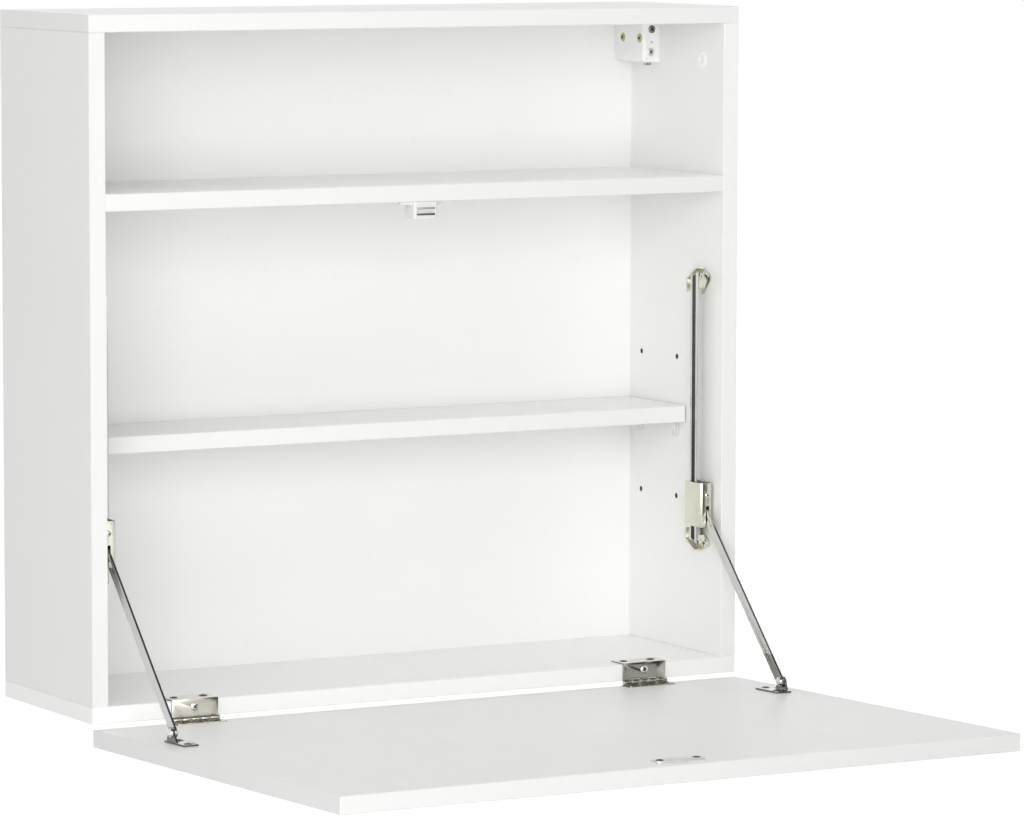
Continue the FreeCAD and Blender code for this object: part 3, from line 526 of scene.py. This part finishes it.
def head_profile(screw):
    """Half the outline of a screw, from the crown of its head to its tip."""
    rim = screw.rise * rim_share
    profile = [(0, screw.rise)]
    for step in range(1, dome_rings):
        share = step / dome_rings
        fall = 1 - math.sqrt(1 - (share * dome_share) ** 2)
        drop = (screw.rise - rim) * fall / (1 - math.sqrt(1 - dome_share ** 2))
        profile.append((screw.radius * share, screw.rise - drop))
    profile += [(screw.radius * rim_radius_share, rim), (screw.radius, rim * rim_bevel_share),
                (screw.radius, 0)]
    if screw.rise < flat_rise:
        profile = [(0, 0), (screw.radius / 2, 0), (screw.radius, 0),
                   (screw.shank, -cone_share * screw.radius)]
    else:
        profile.append((screw.shank, -seat_gap))
    profile += [(screw.shank, -screw.length + screw.shank), (0, -screw.length)]
    return profile


def temporary(name, form):
    mesh = bpy.data.meshes.new(name)
    bmesh.ops.recalc_face_normals(form, faces=form.faces)
    form.to_mesh(mesh)
    form.free()
    made = bpy.data.objects.new(name, mesh)
    bpy.context.scene.collection.objects.link(made)
    return made


def recess_bar(screw, turn):
    """A tapered bar: one of the two that cut a cross recess."""
    top = screw.rise + recess_over_share * screw.radius
    base = screw.rise - recess_depth_share * screw.radius
    form = bmesh.new()
    rows = []
    for height, arm, widening in ((base, recess_floor_share, recess_width_taper),
                                  (top, recess_arm_share * recess_arm_flare, recess_width_flare)):
        half_x = arm * screw.radius
        half_y = recess_half_width_share * screw.radius * widening
        corners = [(half_x, half_y), (-half_x, half_y), (-half_x, -half_y), (half_x, -half_y)]
        spin = Matrix.Rotation(turn, 3, "Z")
        rows.append([form.verts.new(spin @ Vector((*corner, height))) for corner in corners])
    form.faces.new(rows[0])
    form.faces.new(rows[1])
    for index in range(4):
        follow = (index + 1) % 4
        form.faces.new([rows[0][index], rows[0][follow], rows[1][follow], rows[1][index]])
    return temporary("recess_bar", form)


def screw_mesh(screw):
    """The mesh of a screw with its cross recess, seated at the origin with its head along Z."""
    form = bmesh.new()
    lathe(form, head_profile(screw), Matrix.Identity(4), screw_segments)
    blank = temporary("screw_blank", form)
    bars = [recess_bar(screw, turn) for turn in (0, math.pi / 2)]
    for bar in bars:
        cut = blank.modifiers.new(bar.name, "BOOLEAN")
        cut.operation = "DIFFERENCE"
        cut.solver = "EXACT"
        cut.object = bar
    depsgraph = bpy.context.evaluated_depsgraph_get()
    mesh = bpy.data.meshes.new_from_object(blank.evaluated_get(depsgraph))
    for made in (blank, *bars):
        bpy.data.objects.remove(made)
    radii, heights = zip(*[spot for spot in head_profile(screw) if spot[1] >= 0])
    for face in mesh.polygons:
        out = math.hypot(face.center.x, face.center.y)
        sunk = numpy.interp(out, radii, heights) - face.center.z
        in_head = out < recess_edge_share * screw.radius
        face.material_index = int(in_head and sunk > recess_sunk_share * screw.radius)
    return mesh


def screws(node, material=None, chosen=None, upward_shade=None):
    """Fine screws in the place of a node's plain ones. Those that face up can be painted dark as painted
    shade.
    """
    found = [Screw(points) for points in (islands(node) if chosen is None else chosen)]
    pattern = screw_mesh(found[0])
    form = bmesh.new()
    finishes = []
    for index, screw in enumerate(found):
        copy = pattern.copy()
        copy.transform(Matrix.Translation(screw.seat) @ facing(screw.way, index * golden_angle))
        form.from_mesh(copy)
        head = 2 if upward_shade and screw.way.z > upward_share else 0
        finishes += [face.material_index or head for face in copy.polygons]
        bpy.data.meshes.remove(copy)
    bpy.data.meshes.remove(pattern)
    piece = finish_piece(node + "_formed", form, node, material or materials[slot_of[node]])
    piece.data.materials.append(materials["recess"])
    if upward_shade:
        piece.data.materials.append(upward_shade)
    piece.data.polygons.foreach_set("material_index", finishes)
    return piece


# Rivets with round heads
cap_rings = 7
rivet_shank_share = 0.6
rivet_gap = 0.01 * MM


def rivet(node):
    points = islands(node)[0]
    low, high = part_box(node)
    middle = [(first + last) / 2 for first, last in zip(low, high)]
    radial = numpy.linalg.norm(points[:, 1:] - numpy.array(middle[1:]), axis=1)
    rims = points[radial > outermost_share * radial.max()][:, 0]
    head = radial.max()
    inner, outer = rims.min() - middle[0], rims.max() - middle[0]
    cap = high[0] - middle[0] - outer
    shank = rivet_shank_share * head
    profile = [(0, inner - cap)]
    for step in range(1, cap_rings + 1):
        turn = math.pi / 2 * step / cap_rings
        profile.append((head * math.sin(turn), inner - cap * math.cos(turn)))
    profile += [(shank, inner + rivet_gap), (shank, outer - rivet_gap)]
    for step in range(cap_rings, 0, -1):
        turn = math.pi / 2 * step / cap_rings
        profile.append((head * math.sin(turn), outer + cap * math.cos(turn)))
    profile.append((0, outer + cap))
    form = bmesh.new()
    lathe(form, profile, Matrix.Translation(middle) @ facing((1, 0, 0)))
    bmesh.ops.recalc_face_normals(form, faces=form.faces)
    return finish_piece(node + "_formed", form, node, materials["bright_nickel"])


# Cam caps: thin domed discs, as shares of the radius and of half the thickness
cap_shares = ((0, -1), (0.94, -1), (0.97, -0.2), (0.95, 0.35), (0.88, 0.75), (0.6, 0.92), (0.16, 1),
              (0.12, 0.4), (0, 0.3))


def cam_caps():
    form = bmesh.new()
    low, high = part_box("back_panel")
    heart = (Vector(low) + Vector(high)) / 2
    for points in islands("cam_caps"):
        middle, axis = principal(points, shortest=True)
        way = Vector(axis)
        towards = heart - Vector(middle)
        if way.dot(towards) < 0:
            way = -way
        along = (points - middle) @ numpy.array(way)
        half = along.max()
        radius = numpy.linalg.norm(points - middle - numpy.outer(along, numpy.array(way)), axis=1).max()
        profile = [(radius * out, half * up) for out, up in cap_shares]
        lathe(form, profile, Matrix.Translation(middle) @ facing(way))
    bmesh.ops.recalc_face_normals(form, faces=form.faces)
    return finish_piece("cam_caps_formed", form, "cam_caps", materials["white_plastic"])


# Hanger adjusters: a cross-headed screw and a fluted shaft on each hanger
flutes = 14
flute_share = 0.86
flute_angle = math.radians(30)
lying_share = 1.2
tip_share = 0.7
tip_height = 0.5 * MM


def hanger_adjusters():
    screw_points = []
    shaft_points = []
    for points in islands("hanger_adjusters"):
        spans = points.max(axis=0) - points.min(axis=0)
        (screw_points if spans[1] > lying_share * spans[2] else shaft_points).append(points)
    piece = screws("hanger_adjusters", materials["dark_steel"], screw_points)
    form = bmesh.new()
    form.from_mesh(piece.data)
    for points in shaft_points:
        middle = points.mean(axis=0)
        radius = numpy.linalg.norm((points - middle)[:, :2], axis=1).max()
        low, high = points[:, 2].min(), points[:, 2].max()
        rows = []
        for height, share in ((low, tip_share), (low + tip_height, 1), (high, 1)):
            row = []
            for index in range(2 * flutes):
                turn = math.pi * index / flutes
                reach = radius * share * (1 if index % 2 else flute_share)
                spot = (middle[0] + reach * math.cos(turn), middle[1] + reach * math.sin(turn), height)
                row.append(form.verts.new(spot))
            rows.append(row)
        form.faces.new(rows[0])
        form.faces.new(rows[-1])
        for lower, upper in zip(rows, rows[1:]):
            for index in range(2 * flutes):
                follow = (index + 1) % (2 * flutes)
                form.faces.new([lower[index], lower[follow], upper[follow], upper[index]])
    bmesh.ops.recalc_face_normals(form, faces=form.faces)
    form.to_mesh(piece.data)
    form.free()
    piece.data.set_sharp_from_angle(angle=flute_angle)


def dress():
    """Gives every node its finish, or a finer piece in its place."""
    # Each board gets its own tones of painted light and shade.
    for node, (tone, band_light_tone) in board_light_tones.items():
        pale, dark, band = (tuple(part * share for part in colour) for colour, share in (
            (melamine_pale, tone), (melamine_dark, tone), (band_white, band_light_tone)))
        paint(frame["nodes"][node], board_material(node, pale, dark, band))
    for node in ("cam_bolts", "cam_locks", "wooden_dowels"):
        paint(frame["nodes"][node], materials[slot_of[node]])
    for side in sides:
        paint(frame["nodes"]["stay_liner_" + side], materials["black_plastic"])
        softened("hinge_frame_leaf_" + side, 0.35 * MM, materials["hinge_" + side])
        softened("hinge_flap_leaf_" + side, 0.2 * MM, materials["hinge_" + side])
        softened("hinge_pin_" + side, 0.15 * MM, materials["zinc"])
        softened("stay_rail_" + side, 0.15 * MM, materials["rail_steel"])
        softened("stay_upper_bracket_" + side, 0.2 * MM, materials["nickel"])
        softened("stay_lower_bracket_" + side, 0.2 * MM, materials["nickel"])
        slider = "stay_slider_" + side
        # The slider's inner faces are painted dark as painted shade.
        shaded_hollow = metal("slider_nickel_shaded_inside_" + side, *nickel, **satin_z, bare_and_shaded=shaded_inside_of(slider))
        softened(slider, 0.2 * MM, shaded_hollow)
        softened("stay_slider_pin_" + side, 0.2 * MM, materials["bright_nickel"])
        softened("stay_brake_pad_" + side, 0.3 * MM, materials["black_plastic"])
        softened("stay_link_" + side, 0.2 * MM, materials["link_" + side])
        softened("stay_flap_bracket_" + side, 0.2 * MM, materials["bracket_steel"])
        softened("hanger_housing_" + side, 0.4 * MM)
        softened("hanger_hook_" + side, 0.3 * MM)
        screws("stay_brake_screw_" + side, materials["bright_nickel"])
        rivet("stay_rivet_" + side)
    softened("strike_plate", 0.25 * MM)
    softened("catch_housing", 0.4 * MM, materials["catch_shaded_plastic"])
    # The lower pole plate is painted dark as painted shade.
    poles = "catch_pole_plates"
    softened(poles, 0.1 * MM, metal("pole_steel", *pole_steel, bare_and_shaded=shaded_lower_half(poles)))
    softened("catch_magnet", 0.15 * MM)
    softened("shelf_pins", 0.25 * MM)
    cam_caps()
    hanger_adjusters()
    # Screws that face up get the dark colour of painted shade.
    for node in ("hinge_frame_screws", "hinge_flap_screws", "flap_bracket_screws", "strike_screws"):
        screws(node, upward_shade=materials["painted_shade_screw"])
    for node in ("stay_bracket_screws", "catch_screws", "hanger_screws", "hanger_lift_screws",
                 "carcass_screws"):
        screws(node)


# Stage: floor, light and camera
floor_height = -0.76
floor_half = 30.0
floor_glow = 0.8
ambient = 0.32
background_white = 1.0


def sheet(name, half_x, half_y, height=0.0):
    """A flat rectangle that faces up."""
    mesh = bpy.data.meshes.new(name)
    corners = [(-half_x, -half_y), (half_x, -half_y), (half_x, half_y), (-half_x, half_y)]
    mesh.from_pydata([(x, y, height) for x, y in corners], [], [(0, 1, 2, 3)])
    made = bpy.data.objects.new(name, mesh)
    bpy.context.scene.collection.objects.link(made)
    return made


def floor():
    plane = sheet("floor", floor_half, floor_half, floor_height)
    made, tree, shader = new_material("floor_white")
    shader.inputs["Base Color"].default_value = (0.8, 0.8, 0.8, 1)
    shader.inputs["Roughness"].default_value = 0.9
    seen = seen_by_eye(tree)
    glow = add(tree, "ShaderNodeEmission", {"Strength": math_node(tree, "MULTIPLY", seen, floor_glow)})
    both = add(tree, "ShaderNodeAddShader", {0: shader.outputs[0], 1: glow.outputs[0]})
    tree.links.new(both.outputs[0], tree.nodes["Material Output"].inputs["Surface"])
    paint(plane, made)


def seen_by_eye(tree):
    """One for camera, glossy and transmission rays, and zero for the rays that carry light."""
    path = add(tree, "ShaderNodeLightPath")
    direct = math_node(tree, "MAXIMUM", path.outputs["Is Camera Ray"], path.outputs["Is Glossy Ray"])
    return math_node(tree, "MAXIMUM", direct, path.outputs["Is Transmission Ray"])


def world():
    made = bpy.data.worlds.new("studio")
    made.use_nodes = True
    bpy.context.scene.world = made
    tree = made.node_tree
    backdrop = tree.nodes["Background"]
    strength = spread(tree, seen_by_eye(tree), ambient, background_white, (0, 1))
    tree.links.new(strength, backdrop.inputs["Strength"])
    backdrop.inputs["Color"].default_value = (1, 1, 1, 1)


def panel_light(name, azimuth, elevation, distance, size, power, glossy=True, target=(0, -0.15, 0.25)):
    """A square soft box that faces the desk."""
    lamp = bpy.data.lights.new(name, "AREA")
    lamp.shape = "SQUARE"
    lamp.size = size
    lamp.energy = power
    made = bpy.data.objects.new(name, lamp)
    bpy.context.scene.collection.objects.link(made)
    turn, lift = math.radians(azimuth), math.radians(elevation)
    back = Vector((math.sin(turn) * math.cos(lift), -math.cos(turn) * math.cos(lift), math.sin(lift)))
    made.location = Vector(target) + back * distance
    made.rotation_euler = back.to_track_quat("Z", "Y").to_euler()
    made.visible_glossy = glossy


card_material, _, card_shader = new_material("card_black")
card_shader.inputs["Base Color"].default_value = (0.06, 0.06, 0.06, 1)
card_shader.inputs["Roughness"].default_value = 0.9


def dark_card(name, middle, size, way):
    """A dark screen that only reflections see."""
    made = sheet(name + "_card", size[0] / 2, size[1] / 2)
    made.location = middle
    made.rotation_euler = Vector(way).to_track_quat("Z", "Y").to_euler()
    paint(made, card_material)
    made.visible_camera = False
    made.visible_diffuse = False
    made.visible_shadow = False
    made.visible_transmission = False


def camera():
    lens = bpy.data.cameras.new("camera")
    lens.lens = camera_lens
    lens.sensor_width = camera_sensor
    lens.sensor_fit = "HORIZONTAL"
    lens.clip_end = camera_reach
    made = bpy.data.objects.new("camera", lens)
    bpy.context.scene.collection.objects.link(made)
    level = math.cos(camera_elevation)
    sight = Vector((-math.sin(camera_azimuth) * level, math.cos(camera_azimuth) * level,
                    -math.sin(camera_elevation)))
    right = Vector((math.cos(camera_azimuth), math.sin(camera_azimuth), 0))
    up = right.cross(sight)
    tilted_right = math.cos(camera_roll) * right + math.sin(camera_roll) * up
    tilted_up = -math.sin(camera_roll) * right + math.cos(camera_roll) * up
    turn = Matrix((tilted_right, tilted_up, -sight)).transposed()
    made.matrix_world = Matrix.Translation(camera_place) @ turn.to_4x4()
    bpy.context.scene.camera = made


dress()
floor()
world()
panel_light("key", -30, 8, 3.5, 2.2, 58)
panel_light("side", -60, 12, 3.5, 2.2, 23)
panel_light("front", 0, 8, 3.5, 2.2, 13)
panel_light("top", 0, 80, 3.0, 3.0, 36, glossy=False)
dark_card("right", (1.02, -1.45, -0.05), (0.75, 0.9), (-0.55, 0.83, 0))
dark_card("ceiling", (0, -1.2, 1.9), (3.6, 2.4), (0, 0, -1))
camera()
bpy.context.scene.view_settings.view_transform = "Standard"
